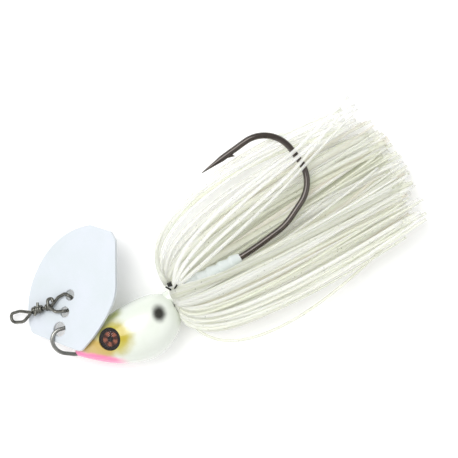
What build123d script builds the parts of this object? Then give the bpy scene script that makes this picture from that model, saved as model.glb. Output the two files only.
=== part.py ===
"""Bladed swim jig: lead head, jig hook, swinging blade, wire snap and silicone skirt.

The lure lies on its left cheek. +X runs along the hook's shank from the nose to the bend, +Y points in
the hook's plane towards the hook's point, and +Z is up, square to the hook's plane. Millimetres.
"""
import math
import os

from build123d import *

os.makedirs("parts", exist_ok=True)

# --- driving dimensions ---------------------------------------------------------------------------
TIE_X = -9.192           # skirt tie, the datum along the shank, from the middle of the lure
SHANK_Y = -3.8           # shank's line from the middle of the lure
SHANK_Z = 5.34           # hook's plane above the surface the lure lies on

HOOK_WIRE = 1.3          # hook wire diameter
HUB_RADIUS = 1.7         # lead hub that carries the skirt collar
HUB_END = 3.0
RIB_RADIUS = 2.0
RIB_LENGTH = 0.5

RING_WIRE = 0.8          # nose ring wire diameter
RING_RADIUS = 2.35       # from the ring's middle to its wire's centreline
RING_MIDDLE = (-23.3, 3.34)
RING_TWIST = 11.0        # the ring is twisted out of the hook's plane
RING_CLOCK = 15.4        # from +Y round to the place where the ring carries the blade

BLADE_THICKNESS = 0.6
BLADE_LEAN = 30.0        # roll about its long axis: one side on the surface, the other on the head
BLADE_HEADING = 43.1     # of its long axis from +X
RING_HOLE = 1.5          # hole radii
SNAP_HOLE = 1.12
HOLE_PITCH = 3.56        # between the blade's three holes

SNAP_WIRE = 0.65
SNAP_LIFT = 6.0          # the snap stands this many degrees off the blade

EYE_RADIUS = 2.3
EYE_MIDDLE = (-14.5, -0.98)
EYE_DEPTH = 3.55         # socket floor from the hook's plane
FOIL_THICKNESS = 0.15
DOME_HEIGHT = 0.85

COLLAR_RADIUS = 2.6
COLLAR_START = -0.2
COLLAR_END = 2.3
TIE_WIRE = 0.34

KEEPER_START = 3.3
KEEPER_END = 15.7
KEEPER_LARGE = 1.75
KEEPER_SMALL = 0.95
KEEPER_BARBS = 5
BARB_RISE = 0.3

# head sections: distance behind the skirt tie, top and bottom from the shank, half width
HEAD_SECTIONS = [
    (-22.2, 0.4, -0.8, 0.6),
    (-20.6, 1.2, -2.4, 1.8),
    (-18.0, 2.3, -4.7, 3.2),
    (-14.5, 3.0, -7.0, 4.5),
    (-10.5, 3.4, -8.5, 5.3),
    (-6.5, 3.2, -8.6, 5.1),
    (-3.2, 2.5, -7.2, 4.2),
    (-1.4, 1.4, -5.7, 3.1),
    (-0.5, 0.5, -4.4, 2.1),
]

# skirt fan: distance behind the tie, lower and upper edge of the fan, gap to the hook's plane, thickness
SKIRT_FAN = [
    (2.6, -2.3, 1.9, 2.2, 0.9),
    (8.0, -10.6, 11.0, 2.2, 2.8),
    (18.0, -12.6, 15.5, 2.15, 3.0),
    (32.0, -14.2, 16.0, 2.15, 3.0),
    (49.5, -11.5, 13.5, 1.0, 3.2),
]
SKIRT_TABS = 4           # on each side of the hook's plane
TAB_GAP = 0.25


def at(x, y, z=0.0):
    """A point given from the skirt tie, in the part's frame."""
    return Vector(TIE_X + x, SHANK_Y + y, SHANK_Z + z)


def station(x):
    """Plane across the shank at a distance behind the skirt tie: local x is +Y, local y is +Z."""
    return Plane(origin=at(x, 0), x_dir=(0, 1, 0), z_dir=(1, 0, 0))


def wire(path, diameter):
    """Round wire swept along a path of straight runs and arcs."""
    with BuildPart() as rod:
        with BuildLine():
            add(path)
        with BuildSketch(Plane(origin=path @ 0, z_dir=path % 0)):
            Circle(diameter / 2)
        sweep()
    return rod.part


def save(builder, name):
    builder.part.label = name
    export_step(builder.part, f"parts/{name}.step")


# --- hook -----------------------------------------------------------------------------------------
hook_corners = [(-17, 0), (18, 0.05), (26.8, 1.1), (36.3, 5.8), (34.5, 20.3), (22.4, 19.04)]
hook_radii = [60, 12.6, 7.3, 6.6]
SPEAR_LENGTH = 5.0
POINT_BLUNT = 0.08       # radius left at the very point

with BuildLine() as hook_line:
    FilletPolyline([at(x, y) for x, y in hook_corners], radius=hook_radii)
hook_path = hook_line.wire()

with BuildPart() as hook:
    add(wire(hook_path, HOOK_WIRE))
    spear_plane = Plane(origin=hook_path @ 1, z_dir=hook_path % 1)
    with Locations(spear_plane.offset(SPEAR_LENGTH / 2)):
        Cone(HOOK_WIRE / 2, POINT_BLUNT, SPEAR_LENGTH)
    with BuildSketch(Plane.XY.offset(SHANK_Z - 0.3)):
        with BuildLine():
            Polyline([at(x, y) for x, y in [(22.0, 18.9), (24.9, 18.1), (24.3, 19.2)]], close=True)
        make_face()
    extrude(amount=0.6)
save(hook, "hook")

# --- nose ring ------------------------------------------------------------------------------------
clock = math.radians(RING_CLOCK)
twist = math.radians(RING_TWIST)
ring_radial = Vector(math.sin(clock), math.cos(clock), 0)
ring_tangent = Vector(
    math.cos(clock) * math.cos(twist), -math.sin(clock) * math.cos(twist), -math.sin(twist)
)
ring_plane = Plane(
    origin=at(*RING_MIDDLE), x_dir=ring_tangent, z_dir=ring_tangent.cross(ring_radial)
)
r = RING_RADIUS
ring_corners = [(5.9, -3.5), (1.6, -3.27), (-2.15, -1.8), (-2.15, r), (1.9, r), (4.4, -1.8)]
with BuildLine(ring_plane) as ring_line:
    FilletPolyline(ring_corners, radius=[2.0, 2.9, 2.1, 2.0])
with BuildPart() as nose_ring:
    add(wire(ring_line.wire(), RING_WIRE))
save(nose_ring, "nose_ring")

# --- head casting ---------------------------------------------------------------------------------


def eye_plane(side):
    """Floor of an eye socket, facing outwards; side is 1 for the upper cheek and -1 for the lower."""
    return Plane(origin=at(*EYE_MIDDLE, side * EYE_DEPTH), x_dir=(0, 1, 0), z_dir=(-0.22, 0.06, side))


with BuildPart() as head_casting:
    for x, top, bottom, half_width in HEAD_SECTIONS:
        with BuildSketch(station(x)):
            with Locations(((top + bottom) / 2, 0)):
                Ellipse((top - bottom) / 2, half_width)
    loft()
    with BuildSketch(station(HEAD_SECTIONS[-2][0])):
        Circle(HUB_RADIUS)
    extrude(amount=HUB_END - HEAD_SECTIONS[-2][0])
    with BuildSketch(station(HUB_END - RIB_LENGTH)):
        Circle(RIB_RADIUS)
    extrude(amount=RIB_LENGTH)
    for side in (1, -1):
        with BuildSketch(eye_plane(side)):
            Circle(EYE_RADIUS)
        extrude(amount=3, mode=Mode.SUBTRACT)
    add(hook.part, mode=Mode.SUBTRACT)
    add(nose_ring.part, mode=Mode.SUBTRACT)
save(head_casting, "head_casting")

# --- eyes -----------------------------------------------------------------------------------------
dome_sphere = (EYE_RADIUS**2 + DOME_HEIGHT**2) / (2 * DOME_HEIGHT)
for side, name in ((1, "right"), (-1, "left")):
    with BuildPart() as eye_foil:
        with BuildSketch(eye_plane(side)):
            Circle(EYE_RADIUS)
        extrude(amount=FOIL_THICKNESS)
    save(eye_foil, f"eye_foil_{name}")

    dome_plane = eye_plane(side).offset(FOIL_THICKNESS)
    with BuildPart() as eye_dome:
        with BuildSketch(dome_plane):
            Circle(EYE_RADIUS)
        extrude(amount=DOME_HEIGHT)
        with Locations(dome_plane.offset(DOME_HEIGHT - dome_sphere)):
            Sphere(dome_sphere, mode=Mode.INTERSECT)
    save(eye_dome, f"eye_dome_{name}")

# --- blade ----------------------------------------------------------------------------------------
heading = math.radians(BLADE_HEADING)
lean = math.radians(BLADE_LEAN)
blade_long = Vector(math.cos(heading), math.sin(heading), 0)
blade_level = Vector(math.sin(heading), -math.cos(heading), 0)
blade_across = blade_level * math.cos(lean) + Vector(0, 0, math.sin(lean))
blade_normal = blade_across.cross(blade_long)
blade_plane = Plane(
    origin=at(*RING_MIDDLE) + ring_radial * RING_RADIUS, x_dir=blade_across, z_dir=blade_normal
)
BLADE_FOOT = -2.7        # straight lower edge, from the ring hole
BLADE_TOP = 21.7

with BuildPart() as blade:
    with BuildSketch(blade_plane.offset(-BLADE_THICKNESS / 2)) as blade_outline:
        with BuildLine():
            foot = Line((-6.3, BLADE_FOOT), (6.3, BLADE_FOOT))
            right_low = ThreePointArc(foot @ 1, (8.95, 2.6), (10.3, 8.3))
            right_waist = ThreePointArc(right_low @ 1, (10.1, 10.9), (9.3, 13.3))
            right_high = Line(right_waist @ 1, (6.6, 20.4))
            corner = Line(right_high @ 1, (5.0, BLADE_TOP))
            crown = Line(corner @ 1, (-0.2, BLADE_TOP))
            shoulder = ThreePointArc(crown @ 1, (-6.1, 17.6), (-9.7, 9.3))
            ThreePointArc(shoulder @ 1, (-9.0, 1.8), foot @ 0)
        make_face()
        fillet(blade_outline.vertices().group_by(Axis.Y)[0], radius=1.3)
    extrude(amount=BLADE_THICKNESS)
    with BuildSketch(blade_plane.offset(-BLADE_THICKNESS / 2)):
        Circle(RING_HOLE)
        with Locations((0, HOLE_PITCH), (0, 2 * HOLE_PITCH)):
            Circle(SNAP_HOLE)
    extrude(amount=BLADE_THICKNESS, mode=Mode.SUBTRACT)
save(blade, "blade")

# --- snap -----------------------------------------------------------------------------------------
lift = math.radians(SNAP_LIFT)
snap_across = blade_across * math.cos(lift) - blade_normal * math.sin(lift)
snap_plane = Plane(
    origin=blade_plane.origin + blade_long * (1.5 * HOLE_PITCH),
    x_dir=snap_across,
    z_dir=snap_across.cross(blade_long),
)
FLAT = 0.76              # wire's centreline above the blade's middle plane
UNDER = -0.72
snap_corners = [
    (-2.6, -0.5, FLAT + 0.8), (-3.0, 0.15, FLAT + 0.8), (-3.9, -0.4, FLAT + 0.8), (-3.4, -1.6, FLAT + 0.85),
    (-1.8, -2.3, FLAT), (0.15, -1.55, FLAT), (0.15, -1.35, UNDER), (0.15, 1.35, UNDER),
    (0.35, 1.6, FLAT), (-1.0, 1.75, FLAT), (-2.2, 0.6, FLAT), (-3.1, -1.55, FLAT),
    (-6.9, -3.7, FLAT), (-8.2, -6.4, FLAT), (-10.8, -7.3, FLAT), (-11.6, -5.7, FLAT + 0.1),
    (-9.5, -4.5, FLAT + 0.5), (-6.4, -3.9, FLAT + 0.8),
]
snap_radii = [0.42, 0.42, 0.6, 0.6, 0.5, 0.5, 0.5, 0.5, 0.5, 0.9, 0.9, 1.5, 1.8, 1.1, 0.8, 3.0]
with BuildLine(snap_plane) as snap_line:
    FilletPolyline(snap_corners, radius=snap_radii)

WRAP_WIRE = 0.55
wraps = [(0.5, 0.5), (1.0, 0.46), (2.3, 0.52), (2.75, 0.62), (3.2, 0.55), (3.65, 0.64), (4.1, 0.54)]
with BuildPart() as snap:
    add(wire(snap_line.wire(), SNAP_WIRE))
    crossing = Vector(-3.1, -1.55, FLAT)
    shaft = Vector(-3.8, -2.15).normalized()
    for distance, radius in wraps:
        turn = crossing + shaft * distance
        turn_plane = Plane(
            origin=snap_plane.from_local_coords(turn),
            z_dir=snap_plane.from_local_coords(turn + shaft) - snap_plane.from_local_coords(turn),
        )
        with Locations(turn_plane):
            Torus(radius, WRAP_WIRE / 2)
    for start, end in [((-5.6, -3.0), (-6.1, -1.7)), ((-6.0, -3.2), (-5.8, -4.4))]:
        foot = snap_plane.from_local_coords(Vector(*start, FLAT + 0.5))
        tip = snap_plane.from_local_coords(Vector(*end, FLAT + 0.5))
        with BuildSketch(Plane(origin=foot, z_dir=tip - foot)):
            Circle(WRAP_WIRE / 2)
        extrude(amount=(tip - foot).length)
save(snap, "snap")

# --- trailer keeper -------------------------------------------------------------------------------
with BuildPart() as trailer_keeper:
    with BuildSketch(Plane.XY.offset(SHANK_Z)):
        with BuildLine():
            step = (KEEPER_END - KEEPER_START) / KEEPER_BARBS
            fall = (KEEPER_LARGE - KEEPER_SMALL) / KEEPER_BARBS
            outline = [at(KEEPER_START, HOOK_WIRE / 2), at(KEEPER_START, KEEPER_LARGE)]
            for i in range(KEEPER_BARBS):
                x = KEEPER_START + i * step
                radius = KEEPER_LARGE - i * fall
                outline.append(at(x + 0.25 * step, radius + BARB_RISE))
                outline.append(at(x + step, radius - fall))
            outline.append(at(KEEPER_END, HOOK_WIRE / 2))
            Polyline(outline, close=True)
        make_face()
    revolve(axis=Axis(at(0, 0), (1, 0, 0)))
    add(hook.part, mode=Mode.SUBTRACT)
save(trailer_keeper, "trailer_keeper")

# --- skirt collar and tie wire --------------------------------------------------------------------
with BuildPart() as skirt_collar:
    with BuildSketch(station(COLLAR_START)):
        Circle(COLLAR_RADIUS)
    extrude(amount=COLLAR_END - COLLAR_START)
    add(head_casting.part, mode=Mode.SUBTRACT)
    add(hook.part, mode=Mode.SUBTRACT)
save(skirt_collar, "skirt_collar")

TIE_TURNS = 3
with BuildPart() as tie_wire:
    for i in range(TIE_TURNS):
        with Locations(station(0.5 + 0.3 * i)):
            Torus(COLLAR_RADIUS + TIE_WIRE / 2, TIE_WIRE / 2)
    for x, y, z in [(-0.6, 1.2, 1.0), (1.2, 0.6, 1.1)]:
        with BuildSketch(Plane(origin=at(0.8, 1.0, 2.55), z_dir=(x, y, z))):
            Circle(TIE_WIRE / 2)
        extrude(amount=2.0)
save(tie_wire, "tie_wire")

# --- skirt: fans of strands above and below the hook's plane --------------------------------------
for side, layer in ((1, "near"), (-1, "far")):
    for tab in range(SKIRT_TABS):
        with BuildPart() as skirt_tab:
            for x, low, high, gap, thickness in SKIRT_FAN:
                pitch = (high - low) / SKIRT_TABS
                middle = low + (tab + 0.5) * pitch
                with BuildSketch(station(x)):
                    with Locations((middle, side * (gap + thickness / 2))):
                        Ellipse((pitch - TAB_GAP) / 2, thickness / 2)
            loft(ruled=True)
        save(skirt_tab, f"skirt_{layer}_{tab + 1}")
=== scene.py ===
"""Looks of the bladed jig: painted lead head, black nickel hook, pearl blade, wire snap, silicone skirt.

Lengths are written in millimetres from the skirt tie, along the shank (x), towards the hook's point (y)
and out of the hook's plane (z). The tie's own place comes from the frame.
"""
import math
import random

import bpy
import numpy as np
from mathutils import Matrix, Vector


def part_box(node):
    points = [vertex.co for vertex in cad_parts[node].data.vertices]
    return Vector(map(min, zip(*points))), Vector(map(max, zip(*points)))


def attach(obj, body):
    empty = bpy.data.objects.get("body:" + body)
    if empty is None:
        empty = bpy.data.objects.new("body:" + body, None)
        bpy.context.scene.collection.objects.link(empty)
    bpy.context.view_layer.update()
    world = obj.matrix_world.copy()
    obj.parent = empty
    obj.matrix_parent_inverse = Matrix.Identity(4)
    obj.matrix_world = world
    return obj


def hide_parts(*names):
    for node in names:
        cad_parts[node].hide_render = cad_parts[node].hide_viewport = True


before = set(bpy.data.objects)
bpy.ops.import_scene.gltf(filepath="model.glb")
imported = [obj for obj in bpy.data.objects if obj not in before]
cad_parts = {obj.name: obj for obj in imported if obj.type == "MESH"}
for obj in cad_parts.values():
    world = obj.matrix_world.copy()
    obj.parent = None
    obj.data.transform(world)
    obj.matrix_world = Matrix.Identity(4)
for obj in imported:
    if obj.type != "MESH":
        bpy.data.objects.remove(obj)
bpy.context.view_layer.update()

MM = 0.001
KEEPER_START = 3.3       # the keeper's front end, behind the tie

keeper_low, keeper_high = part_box("trailer_keeper")
TIE = Vector((
    keeper_low.x - KEEPER_START * MM,
    (keeper_low.y + keeper_high.y) / 2,
    (keeper_low.z + keeper_high.z) / 2,
))
FLOOR = -TIE.z / MM      # the surface, from the hook's plane


def at(x, y, z=0.0):
    return TIE + Vector((x, y, z)) * MM


# --- node helpers ---------------------------------------------------------------------------------
class Finish:
    """A material with a Principled shader and short ways to add nodes to it."""

    def __init__(self, name, **sockets):
        self.material = bpy.data.materials.new(name)
        self.material.use_nodes = True
        self.tree = self.material.node_tree
        self.shader = self.tree.nodes["Principled BSDF"]
        for socket, value in sockets.items():
            self.shader.inputs[socket.replace("_", " ")].default_value = value

    def node(self, kind, **settings):
        made = self.tree.nodes.new(kind)
        for name, value in settings.items():
            setattr(made, name, value)
        return made

    def link(self, source, target):
        self.tree.links.new(source, target)

    def put(self, socket, value):
        if isinstance(value, (int, float, tuple, Vector)):
            socket.default_value = value
        else:
            self.link(value, socket)

    def math(self, operation, a, b=0.0, clamp=False):
        made = self.node("ShaderNodeMath", operation=operation, use_clamp=clamp)
        self.put(made.inputs[0], a)
        self.put(made.inputs[1], b)
        return made.outputs[0]

    def vector(self, operation, a, b):
        made = self.node("ShaderNodeVectorMath", operation=operation)
        self.put(made.inputs[0], a)
        self.put(made.inputs[1], b)
        return made.outputs["Value"] if operation in ("LENGTH", "DOT_PRODUCT") else made.outputs["Vector"]

    def place(self):
        """The surface's own place in millimetres from the skirt tie."""
        coords = self.node("ShaderNodeTexCoord").outputs["Object"]
        moved = self.vector("SUBTRACT", coords, tuple(TIE))
        return self.vector("MULTIPLY", moved, (1 / MM, 1 / MM, 1 / MM))

    def fade(self, value, full, none):
        """1 where value is at full, 0 where it is at none, smooth between."""
        made = self.node("ShaderNodeMapRange", interpolation_type="SMOOTHERSTEP")
        self.put(made.inputs["Value"], value)
        made.inputs["From Min"].default_value = none
        made.inputs["From Max"].default_value = full
        return made.outputs["Result"]

    def mix(self, factor, a, b):
        made = self.node("ShaderNodeMix", data_type="RGBA")
        self.put(made.inputs["Factor"], factor)
        self.put(made.inputs["A"], a)
        self.put(made.inputs["B"], b)
        return made.outputs["Result"]

    def noise(self, place, scale, detail=2.0, roughness=0.5):
        made = self.node("ShaderNodeTexNoise")
        self.put(made.inputs["Vector"], place)
        made.inputs["Scale"].default_value = scale
        made.inputs["Detail"].default_value = detail
        made.inputs["Roughness"].default_value = roughness
        return made.outputs["Fac"]

    def specks(self, place, scale, size):
        """Small scattered dots: 1 inside a dot."""
        made = self.node("ShaderNodeTexVoronoi")
        self.put(made.inputs["Vector"], place)
        made.inputs["Scale"].default_value = scale
        return self.math("LESS_THAN", made.outputs["Distance"], size)

    def bump(self, height, strength, distance):
        made = self.node("ShaderNodeBump")
        made.inputs["Strength"].default_value = strength
        made.inputs["Distance"].default_value = distance
        self.put(made.inputs["Height"], height)
        self.link(made.outputs["Normal"], self.shader.inputs["Normal"])

    def colour(self, value):
        self.put(self.shader.inputs["Base Color"], value)


def rgb(red, green, blue):
    return (red, green, blue, 1.0)


# --- finishes -------------------------------------------------------------------------------------
SPOT = (-4.1, -1.5)      # middle of the black spot behind the cheek
PAINT_SHIFT = (0.45, 0.12, 0.0)  # of the whole paint pattern along the head


def spot_distance(f, place, centre, turn, radii):
    """Distance from centre across the cheek in units of the radii of a turned oval."""
    c, s = math.cos(math.radians(turn)), math.sin(math.radians(turn))
    moved = f.vector("SUBTRACT", place, (centre[0], centre[1], 0.0))
    along = f.math("DIVIDE", f.vector("DOT_PRODUCT", moved, (c, s, 0.0)), radii[0])
    across = f.math("DIVIDE", f.vector("DOT_PRODUCT", moved, (-s, c, 0.0)), radii[1])
    squares = f.math("ADD", f.math("MULTIPLY", along, along), f.math("MULTIPLY", across, across))
    return f.math("SQRT", squares)


def head_paint():
    f = Finish("head_paint", Roughness=0.25, Coat_Weight=0.6, Coat_Roughness=0.08)
    place = f.vector("SUBTRACT", f.place(), PAINT_SHIFT)
    wobble = f.math("SUBTRACT", f.noise(place, 0.5, 3.0), 0.5)
    along = f.vector("DOT_PRODUCT", place, (1.0, 0.0, 0.0))
    height = f.vector("DOT_PRODUCT", place, (0.0, 1.0, 0.0))
    # distance from the throat's edge, which falls away from the nose
    throat = f.vector("DOT_PRODUCT", f.vector("SUBTRACT", place, (-22.0, -1.1, 0.0)), (0.61, 0.79, 0.0))
    throat = f.math("ADD", throat, f.math("MULTIPLY", wobble, 0.7))

    def patch(middle, turn, radii, inner, strength, colour, paint):
        """Paint over colour in a turned oval: whole out to inner of its radii, gone at its edge."""
        distance = spot_distance(f, place, middle, turn, radii)
        distance = f.math("ADD", distance, f.math("MULTIPLY", wobble, 0.3))
        return f.mix(f.math("MULTIPLY", f.fade(distance, inner, 1.0), strength), colour, paint)

    colour = f.mix(f.noise(place, 0.2, 2.0), rgb(0.69, 0.74, 0.64), rgb(0.82, 0.85, 0.80))
    # yellow round the eye, a darker smear behind it, and gold on the nose
    colour = patch((-14.4, -1.2), -30, (5.6, 4.9), 0.35, 1.0, colour, rgb(0.47, 0.41, 0.05))
    colour = patch((-12.5, -1.4), 80, (3.0, 1.7), 0.1, 0.85, colour, rgb(0.46, 0.36, 0.01))
    colour = patch((-18.6, -1.5), -40, (5.0, 2.9), 0.4, 0.9, colour, rgb(0.50, 0.33, 0.06))
    back = f.math("MULTIPLY", f.fade(height, 2.7, 1.4), f.fade(along, -12.2, -9.6))
    colour = f.mix(back, colour, rgb(0.36, 0.40, 0.09))
    pink = f.math("MULTIPLY", f.fade(throat, 0.3, 1.35), f.fade(along, -17.0, -13.2))
    colour = f.mix(pink, colour, rgb(0.88, 0.21, 0.42))
    colour = patch(SPOT, 80, (2.5, 1.95), 0.22, 1.0, colour, rgb(0.014, 0.015, 0.008))
    f.colour(colour)
    f.bump(f.noise(place, 1.6, 2.0), 0.05, 0.0002)
    return f.material


def metal(name, dark, light, roughness, grain, plating=0.0):
    """Drawn and plated wire: colour drifts and fine draw marks."""
    f = Finish(name, Metallic=1.0 - 0.4 * plating, Coat_Weight=plating, Coat_Roughness=0.05)
    place = f.place()
    drift = f.noise(place, 0.8, 3.0)
    f.colour(f.mix(drift, dark, light))
    marks = f.noise(place, grain, 4.0, 0.6)
    rough = f.math("ADD", f.math("MULTIPLY", marks, 0.16), roughness - 0.08)
    f.put(f.shader.inputs["Roughness"], rough)
    f.bump(marks, 0.12, 0.0001)
    return f.material


def blade_coat():
    f = Finish("blade_coat", Roughness=0.36, Coat_Weight=0.4, Coat_Roughness=0.14, Metallic=0.0)
    place = f.place()
    cloud = f.noise(place, 0.18, 3.0, 0.6)
    colour = f.mix(cloud, rgb(0.57, 0.63, 0.64), rgb(0.65, 0.68, 0.75))
    fleck = f.specks(place, 2.6, 0.12)
    colour = f.mix(f.math("MULTIPLY", fleck, 0.3), colour, rgb(0.76, 0.80, 0.84))
    f.colour(colour)
    f.bump(f.noise(place, 2.2, 3.0), 0.1, 0.0002)
    return f.material


IRIS_RAYS = 22.0
IRIS_FACETS = 5.0
PUPIL_EDGE = (0.5, 0.75)     # the pupil and the rim fade from full to none between these radii
RIM_EDGE = (1.62, 1.32)


def eye_foil(side):
    """Printed foil: black rim, copper iris in fine rays, round black pupil."""
    f = Finish(f"eye_foil_{side}", Roughness=0.4)
    place = f.place()
    low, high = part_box(f"eye_foil_{side}")
    middle = ((Vector(low) + Vector(high)) / 2 - TIE) / MM
    moved = f.vector("SUBTRACT", place, tuple(middle))
    out = f.node("ShaderNodeSeparateXYZ")
    f.link(moved, out.inputs[0])
    x, y = out.outputs["X"], out.outputs["Y"]
    radius = f.math("SQRT", f.math("ADD", f.math("MULTIPLY", x, x), f.math("MULTIPLY", y, y)))
    turn = f.math("ARCTAN2", y, x)
    rays = f.math("SINE", f.math("MULTIPLY", turn, IRIS_RAYS))
    facets = f.math("SINE", f.math("MULTIPLY", turn, IRIS_FACETS))
    light = f.math("ADD", f.math("MULTIPLY", rays, 0.12), f.math("MULTIPLY", facets, 0.5))
    light = f.math("ADD", light, 0.4, clamp=True)
    iris = f.mix(light, rgb(0.06, 0.011, 0.005), rgb(0.46, 0.14, 0.075))
    colour = f.mix(f.fade(radius, *PUPIL_EDGE), iris, rgb(0.004, 0.003, 0.004))
    colour = f.mix(f.fade(radius, *RIM_EDGE), colour, rgb(0.005, 0.003, 0.003))
    f.colour(colour)
    return f.material


def eye_dome():
    """Clear resin: nearly all of it lets the foil through, the rest is its gloss."""
    f = Finish("eye_dome", Roughness=0.05, IOR=1.5, Alpha=0.12)
    place = f.place()
    f.colour(f.mix(f.noise(place, 1.0), rgb(0.010, 0.007, 0.006), rgb(0.016, 0.010, 0.008)))
    return f.material


def keeper_plastic():
    f = Finish("keeper_plastic", Roughness=0.3, IOR=1.46, Alpha=0.75, Coat_Weight=0.3)
    place = f.place()
    f.colour(f.mix(f.noise(place, 0.5, 3.0), rgb(0.78, 0.86, 0.85), rgb(0.93, 0.96, 0.96)))
    f.bump(f.noise(place, 1.5, 2.0), 0.15, 0.0002)
    return f.material


def rubber(name, dark, light):
    f = Finish(name, Roughness=0.42)
    place = f.place()
    f.colour(f.mix(f.noise(place, 0.9, 3.0), dark, light))
    f.bump(f.noise(place, 3.0, 2.0), 0.1, 0.0001)
    return f.material


def skirt_silicone(name, shade, bright, speckle):
    """Silicone strand: shade and bright drift along the strand, with dark flecks. The little emission stands
    for the light that clear silicone passes on from strand to strand."""
    f = Finish(
        name, Roughness=0.35, IOR=1.41, Alpha=0.55, Subsurface_Weight=0.6, Subsurface_Scale=0.002,
        Subsurface_Radius=(1.0, 1.0, 0.85), Emission_Color=rgb(0.97, 0.98, 0.84), Emission_Strength=0.07
    )
    place = f.place()
    drift = f.noise(f.vector("MULTIPLY", place, (0.35, 1.0, 1.0)), 0.7, 3.0)
    colour = f.mix(drift, shade, bright)
    fleck = f.math("MULTIPLY", f.specks(place, 0.8, 0.11), speckle)
    colour = f.mix(fleck, colour, rgb(0.12, 0.13, 0.09))
    f.colour(colour)
    f.bump(f.noise(f.vector("MULTIPLY", place, (0.2, 1.0, 1.0)), 3.0, 2.0), 0.12, 0.0001)
    return f.material


SKIRT_TINTS = [            # name, shade, bright, strength of the flecks
    ("skirt_white", rgb(0.90, 0.91, 0.85), rgb(0.99, 0.99, 0.96), 0.5),
    ("skirt_cream", rgb(0.84, 0.86, 0.72), rgb(0.95, 0.96, 0.87), 0.6),
    ("skirt_olive", rgb(0.73, 0.75, 0.57), rgb(0.87, 0.89, 0.76), 0.7),
    ("skirt_peach", rgb(0.90, 0.82, 0.68), rgb(0.96, 0.91, 0.80), 0.3),
]


def dress(node, material):
    """Gives a carried-over CAD node its finish."""
    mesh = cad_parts[node].data
    mesh.materials.clear()
    mesh.materials.append(material)


dress("head_casting", head_paint())
dress("hook", metal("hook_nickel", rgb(0.012, 0.009, 0.007), rgb(0.070, 0.048, 0.034), 0.2, 3.0, 1.0))
dress("nose_ring", metal("ring_steel", rgb(0.13, 0.13, 0.12), rgb(0.38, 0.38, 0.36), 0.22, 4.0))
dress("snap", metal("snap_steel", rgb(0.04, 0.04, 0.035), rgb(0.26, 0.26, 0.23), 0.24, 4.0))
dress("tie_wire", metal("tie_steel", rgb(0.02, 0.02, 0.018), rgb(0.06, 0.058, 0.05), 0.4, 5.0))
dress("blade", blade_coat())
dress("trailer_keeper", keeper_plastic())
dress("skirt_collar", rubber("collar_rubber", rgb(0.78, 0.8, 0.74), rgb(0.9, 0.9, 0.85)))
dome_material = eye_dome()
for side in ("left", "right"):
    dress(f"eye_foil_{side}", eye_foil(side))


# --- eye domes ------------------------------------------------------------------------------------
EYE_RADIUS = 2.3
DOME_HEIGHT = 0.85
DOME_LIFT = 0.09         # of the cap's flat side above the foil's middle
EYE_TILT = (-0.22, 0.06)  # the sockets face forward and slightly towards the back


def make_dome(side, facing):
    """A smooth closed cap on the foil; facing is 1 for the upper cheek and -1 for the lower."""
    low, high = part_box(f"eye_foil_{side}")
    foil = (Vector(low) + Vector(high)) / 2
    out = Vector((*EYE_TILT, facing)).normalized()
    turn = out.to_track_quat("Z", "Y")
    sphere = (EYE_RADIUS**2 + DOME_HEIGHT**2) / (2 * DOME_HEIGHT)
    widest = math.asin(EYE_RADIUS / sphere)
    around, up = 64, 14
    verts = [(0.0, 0.0, DOME_HEIGHT)]
    for i in range(1, up + 1):
        angle = widest * i / up
        radius, rise = sphere * math.sin(angle), sphere * math.cos(angle) - (sphere - DOME_HEIGHT)
        for k in range(around):
            heading = 2 * math.pi * k / around
            verts.append((radius * math.cos(heading), radius * math.sin(heading), rise))
    faces = [(0, 1 + k, 1 + (k + 1) % around) for k in range(around)]
    for i in range(up - 1):
        first, second = 1 + i * around, 1 + (i + 1) * around
        for k in range(around):
            n = (k + 1) % around
            faces.append((first + k, second + k, second + n, first + n))
    edge = 1 + (up - 1) * around
    faces.append(tuple(reversed(range(edge, edge + around))))
    mesh = bpy.data.meshes.new(f"eye_dome_{side}_cap")
    lifted = foil + out * DOME_LIFT * MM
    mesh.from_pydata([tuple(lifted + turn @ (Vector(v) * MM)) for v in verts], [], faces)
    mesh.polygons.foreach_set("use_smooth", [True] * (len(faces) - 1) + [False])
    mesh.materials.append(dome_material)
    mesh.update()
    piece = bpy.data.objects.new(f"eye_dome_{side}_cap", mesh)
    bpy.context.collection.objects.link(piece)
    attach(piece, "lure")
    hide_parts(f"eye_dome_{side}")


make_dome("right", 1)
make_dome("left", -1)


# --- skirt ----------------------------------------------------------------------------------------
RIBBON_SAMPLES = 34
RIBBON_SIDES = 6
STRAND_LENGTH = 53.0
LONGEST = 1.14 * STRAND_LENGTH


def bezier(points, count):
    t = np.linspace(0.0, 1.0, count)[:, None]
    a, b, c, d = (np.array(p, float) for p in points)
    return (1 - t) ** 3 * a + 3 * (1 - t) ** 2 * t * b + 3 * (1 - t) * t**2 * c + t**3 * d


def cut_to_length(line, length):
    """The same line, evenly sampled, cut where its length is reached."""
    steps = np.linalg.norm(np.diff(line, axis=0), axis=1)
    run = np.concatenate([[0.0], np.cumsum(steps)])
    wanted = np.linspace(0.0, min(length, run[-1]), RIBBON_SAMPLES)
    return np.stack([np.interp(wanted, run, line[:, i]) for i in range(3)], axis=1)


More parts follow.
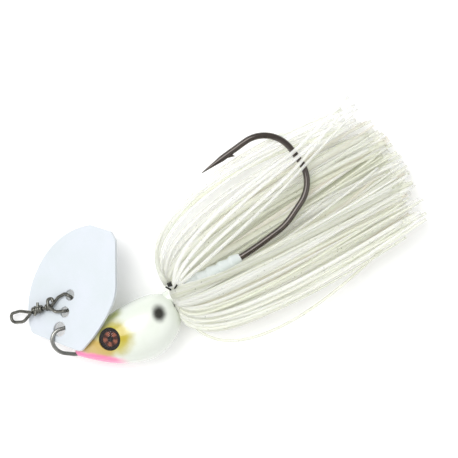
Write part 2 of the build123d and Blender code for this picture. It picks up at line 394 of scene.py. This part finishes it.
def ribbon(line, width, thickness, roll, twist):
    """Vertices and faces of a flat strand with rounded edges along a line in millimetres."""
    tangent = np.gradient(line, axis=0)
    tangent /= np.linalg.norm(tangent, axis=1)[:, None]
    up = np.array([0.0, 0.0, 1.0])
    across = np.cross(up, tangent)
    across /= np.linalg.norm(across, axis=1)[:, None] + 1e-9
    lift = np.cross(tangent, across)
    verts = []
    for i in range(len(line)):
        angle = roll + twist * i / (len(line) - 1)
        c, s = math.cos(angle), math.sin(angle)
        a = across[i] * c + lift[i] * s
        b = lift[i] * c - across[i] * s
        for k in range(RIBBON_SIDES):
            turn = 2 * math.pi * (k + 0.5) / RIBBON_SIDES
            x = math.copysign(abs(math.cos(turn)) ** 0.6, math.cos(turn)) * width / 2
            y = math.copysign(abs(math.sin(turn)) ** 0.6, math.sin(turn)) * thickness / 2
            verts.append(line[i] + a * x + b * y)
    faces = []
    for i in range(len(line) - 1):
        for k in range(RIBBON_SIDES):
            n = (k + 1) % RIBBON_SIDES
            first, second = i * RIBBON_SIDES, (i + 1) * RIBBON_SIDES
            faces.append((first + k, first + n, second + n, second + k))
    faces.append(tuple(reversed(range(RIBBON_SIDES))))
    last = (len(line) - 1) * RIBBON_SIDES
    faces.append(tuple(range(last, last + RIBBON_SIDES)))
    return verts, faces


HOOK_CLEAR = 1.15        # strands keep this far from the hook's plane near the hook


def strand_line(fan, rise, tip_angle=None):
    """One strand's centreline. fan runs from -1, the belly side, to 1, the hook point's side; rise is the
    strand's height from the hook's plane at mid length."""
    wide = abs(fan)
    side = 1 if rise > 0 else -1
    root = rng.uniform(2.9, 3.25)
    start = (
        rng.uniform(-0.1, 0.6),
        root * 0.93 * fan,
        side * root * math.sqrt(max(0.05, 1 - fan * fan * 0.9)),
    )
    bulge = 14.5 if fan > 0 else 12.0
    first = (
        1.5 - 3.0 * wide + rng.uniform(-1.4, 1.4),
        fan * bulge * rng.uniform(0.82, 1.04),
        rise * (1.15 - 0.35 * wide),
    )
    second = (
        16.0 - 5.0 * wide + rng.uniform(-5.0, 6.0),
        fan * (24.0 if fan > 0 else 16.0) * rng.uniform(0.88, 1.02) + rng.uniform(-3.2, 3.2) * (1 - wide),
        rise * rng.uniform(0.8, 1.2),
    )
    if tip_angle is None:
        tip_angle = 2.6 + 15.5 * fan + rng.uniform(-4.5, 4.5) * (1.05 - 0.75 * wide)
    angle = math.radians(tip_angle)
    length = 52.8 - 1.0 * wide + rng.uniform(-4.2, 1.6)
    tip = (length * math.cos(angle), length * math.sin(angle), rise * rng.uniform(0.5, 1.0))
    return cut_to_length(bezier((start, first, second, tip), 160), LONGEST)


def keep_clear(line, thickness):
    """Strands stay above the surface and out of the hook's plane where the hook is."""
    low = FLOOR + thickness * 0.6
    line[:, 2] = np.maximum(line[:, 2], low)
    x, y, z = line[:, 0], line[:, 1], line[:, 2]
    near_hook = (x > 2.0) & (x < 37.5) & (y > -2.5) & (y < 21.5)
    ease = np.clip((x - 2.0) / 3.0, 0, 1) * np.clip((37.5 - x) / 1.5, 0, 1)
    clear = HOOK_CLEAR * ease
    push = near_hook & (np.abs(z) < clear)
    line[:, 2] = np.where(push, np.where(z >= 0, clear, -clear), z)
    return line


def skirt_group(name, nodes, strands):
    """One bundle of strands as a single piece; strands are (line, width, thickness, roll, twist, tint)."""
    verts, faces, face_tints = [], [], []
    for line, width, thickness, roll, twist, tint in strands:
        new_verts, new_faces = ribbon(line, width, thickness, roll, twist)
        offset = len(verts)
        verts += [tuple(at(*v)) for v in new_verts]
        faces += [tuple(i + offset for i in face) for face in new_faces]
        face_tints += [tint] * len(new_faces)
    mesh = bpy.data.meshes.new(name)
    mesh.from_pydata(verts, [], faces)
    for material in tint_materials:
        mesh.materials.append(material)
    mesh.polygons.foreach_set("material_index", face_tints)
    mesh.polygons.foreach_set("use_smooth", [True] * len(faces))
    mesh.update()
    piece = bpy.data.objects.new(name, mesh)
    bpy.context.collection.objects.link(piece)
    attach(piece, "lure")
    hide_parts(*nodes)


tint_materials = [skirt_silicone(*tint) for tint in SKIRT_TINTS]
rng = random.Random(7)


def finish_strand(line, tints, width=None):
    """Gives a centreline its section, roll and tint; tints are the tint's chances, in order."""
    width = width or rng.uniform(0.45, 0.95)
    thickness = rng.uniform(0.28, 0.38)
    line = keep_clear(line, thickness)
    tint = rng.choices(range(len(SKIRT_TINTS)), tints)[0]
    return line, width, thickness, rng.uniform(-0.5, 0.5), rng.uniform(-1.4, 1.4), tint


def crossing_line(gate, tip_angle, bow):
    """A strand that lies over the hook's bend: it passes the bend at height gate."""
    start = (1.3, 0.9, 2.4)
    length = rng.uniform(49.0, 53.0)
    angle = math.radians(tip_angle)
    tip = np.array([length * math.cos(angle), length * math.sin(angle), 2.0])
    over = np.array([35.3, gate, 1.9])
    before = over - (tip - over) * 0.9
    first = bezier((start, (3.0, 3.0 + bow, 3.6), tuple(before + (0.0, bow * 0.4, 1.2)), tuple(over)), 120)
    rest = over + (tip - over) * np.linspace(0.0, 1.0, 60)[1:, None]
    return cut_to_length(np.concatenate([first, rest]), LONGEST)


def over_keeper(fan):
    """A strand from the top of the tie that lies over the keeper and leaves below the shank."""
    start = (rng.uniform(-0.1, 0.4), 3.0 * fan, 3.15 * math.sqrt(1 - fan * fan * 0.9))
    leave = rng.uniform(-3.6, -1.9)
    tip_angle = math.radians(rng.uniform(-5.0, -1.8))
    length = rng.uniform(48.0, 53.5)
    tip = (length * math.cos(tip_angle), length * math.sin(tip_angle), rng.uniform(1.5, 3.0))
    second = (rng.uniform(10.0, 16.0), leave, rng.uniform(3.0, 4.2))
    first = (rng.uniform(2.5, 5.0), 2.2 * fan - 0.4, 4.3)
    return cut_to_length(bezier((start, first, second, tip), 160), LONGEST)


TABS = 4
FAR_STRANDS = (24, 42, 44, 12)   # in each tab below the hook's plane, from the belly side
FAR_RISE = (1.3, 4.6)            # how far the strands lie from the hook's plane
NEAR_RISE = (1.6, 4.8)
NEAR_FANS = ((-1.0, -0.5, 18), (-0.5, -0.15, 14))  # first and last fan and the number of strands
OVER_KEEPER_STRANDS = 12
FLAT_SHARE = 0.25                # of the lower strands are wide ones; the last tab has none
FLAT_WIDTH = (1.2, 1.9)
# The strands lying under the others lean to cream and olive and the top strands are whiter: partly the
# skirt's own mixed colours, partly painted shade between the strands.
FLAT_SHADED_TINTS = (1, 4, 4, 1)        # chances of white, cream, olive and peach
FAR_SHADED_TINTS = (6, 5, 2, 1)
NEAR_TINTS = (7, 4, 1, 1)
WHITE_ONLY = (1, 0, 0, 0)
OLIVE_ONLY = (0, 0, 1, 0)
LOOSE_LENGTH = 60.0
LOOSE_WIDTH = 0.6
CROSSING_WIDTH = 0.85

for tab in range(TABS):
    low = -1 + 2 * tab / TABS
    far = []
    for i in range(FAR_STRANDS[tab]):
        fan = low + (i + rng.uniform(0.0, 1.0)) / FAR_STRANDS[tab] * 2 / TABS
        line = strand_line(fan, -rng.uniform(*FAR_RISE))
        flat = tab < TABS - 1 and rng.random() < FLAT_SHARE
        width = rng.uniform(*FLAT_WIDTH) if flat else None
        # strands below the hook's plane take the darker tint chances, partly as painted shade
        far.append(finish_strand(line, FLAT_SHADED_TINTS if flat else FAR_SHADED_TINTS, width))
    skirt_group(f"skirt_far_{tab + 1}_strands", [f"skirt_far_{tab + 1}"], far)

for tab, (low, high, count) in enumerate(NEAR_FANS):
    near = []
    for i in range(count):
        fan = low + (i + rng.uniform(0.0, 1.0)) / count * (high - low)
        tip_angle = -2.5 + 11.0 * (fan + 0.15) / 0.85 + rng.uniform(-2.6, 1.4)
        line = strand_line(fan, rng.uniform(*NEAR_RISE), tip_angle)
        near.append(finish_strand(line, NEAR_TINTS))
    if tab == 0:
        loose = bezier(((1.0, -2.3, 0.6), (-1.6, -13.0, 1.5), (10.0, -22.0, 1.0), (47.2, -10.9, 0.5)), 160)
        near.append(finish_strand(cut_to_length(loose, LOOSE_LENGTH), OLIVE_ONLY, LOOSE_WIDTH))
    else:
        for _ in range(OVER_KEEPER_STRANDS):
            near.append(finish_strand(over_keeper(rng.uniform(-0.15, 0.75)), NEAR_TINTS))
    skirt_group(f"skirt_near_{tab + 1}_strands", [f"skirt_near_{tab + 1}"], near)

CROSSINGS = (             # height at the bend, tip's angle, bow of the run from the tie
    ((9.3, 15.5, -1.0), (10.4, 17.5, 1.5)),
    ((11.6, 16.5, 3.0), (12.9, 18.6, 6.0)),
)
for tab, group in enumerate(CROSSINGS, start=3):
    near = [finish_strand(crossing_line(*strand), WHITE_ONLY, CROSSING_WIDTH) for strand in group]
    skirt_group(f"skirt_near_{tab}_strands", [f"skirt_near_{tab}"], near)


# --- floor, light and camera ----------------------------------------------------------------------
FLOOR_HALF = 1.5         # metres
FLOOR_GLOW = 0.12


def make_floor():
    mesh = bpy.data.meshes.new("floor")
    half = FLOOR_HALF
    corners = [(-half, -half, 0), (half, -half, 0), (half, half, 0), (-half, half, 0)]
    mesh.from_pydata(corners, [], [(0, 1, 2, 3)])
    piece = bpy.data.objects.new("floor", mesh)
    bpy.context.collection.objects.link(piece)
    f = Finish("floor_paper", Roughness=0.9)
    coords = f.node("ShaderNodeTexCoord").outputs["Object"]
    f.colour(f.mix(f.noise(coords, 3.0), rgb(0.93, 0.93, 0.93), rgb(0.95, 0.95, 0.95)))
    f.shader.inputs["Emission Color"].default_value = rgb(1.0, 1.0, 1.0)
    f.shader.inputs["Emission Strength"].default_value = FLOOR_GLOW
    mesh.materials.append(f.material)


def area_light(name, place, aim, size, power):
    """A round light; size is in metres and power in watts."""
    data = bpy.data.lights.new(name, "AREA")
    data.shape = "DISK"
    data.size = size
    data.energy = power
    lamp = bpy.data.objects.new(name, data)
    bpy.context.collection.objects.link(lamp)
    lamp.location = place
    lamp.rotation_euler = (aim - place).to_track_quat("-Z", "Y").to_euler()


make_floor()
area_light("key", at(-60, 180, 320), at(15, 0), 0.3, 1.0)
area_light("fill", at(220, -160, 260), at(15, 0), 0.4, 0.3)
area_light("front", at(-240, -60, 140), at(-10, 0), 0.3, 0.2)
bpy.context.scene.view_settings.view_transform = "Standard"  # keeps pale paint pale

WORLD_STRENGTH = 0.56
world = bpy.data.worlds.new("studio")
bpy.context.scene.world = world
world.use_nodes = True
world.node_tree.nodes["Background"].inputs["Color"].default_value = (1.0, 1.0, 1.0, 1.0)
world.node_tree.nodes["Background"].inputs["Strength"].default_value = WORLD_STRENGTH

VIEW_WIDTH = 91.6        # what the picture spans
VIEW_MIDDLE = (16.56, 6.1)
VIEW_TURN = 30.0         # the shank climbs this much to the right
LENS = 100.0
SENSOR = 36.0
camera_data = bpy.data.cameras.new("camera")
camera_data.lens = LENS
camera_data.sensor_width = SENSOR
camera_data.clip_start = 0.01
camera = bpy.data.objects.new("camera", camera_data)
bpy.context.collection.objects.link(camera)
camera.location = at(*VIEW_MIDDLE, VIEW_WIDTH * LENS / SENSOR)
camera.rotation_euler = (0.0, 0.0, math.radians(-VIEW_TURN))
bpy.context.scene.camera = camera
